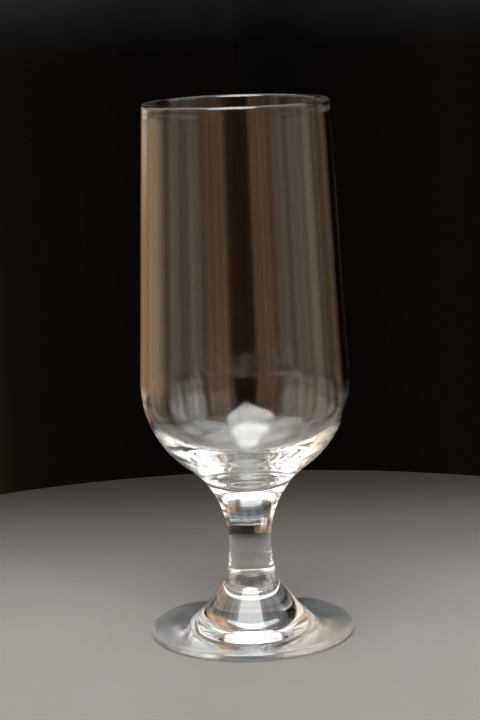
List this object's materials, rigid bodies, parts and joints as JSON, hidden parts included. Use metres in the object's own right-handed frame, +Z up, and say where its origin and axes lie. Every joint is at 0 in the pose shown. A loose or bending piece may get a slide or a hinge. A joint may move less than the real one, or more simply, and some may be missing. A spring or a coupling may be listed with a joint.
{
  "type": "beer glass",
  "caption": "Clear footed beer glass: a tall, gently tapering bowl with a round belly and heavy base, on a short waisted stem and a wide flared foot, for serving a single beer.",
  "frame": {"origin": "centre of the plane the foot stands on", "axes": "+Z up along the axis of revolution, X and Y level and interchangeable; the picture looks along +Y"},
  "size_m": [0.0718, 0.0718, 0.185],
  "materials": {
    "clear_glass": "fire polished"
  },
  "bodies": {
    "root": {"foot": "clear_glass", "stem": "clear_glass", "bowl": "clear_glass"}
  },
  "joints": []
}
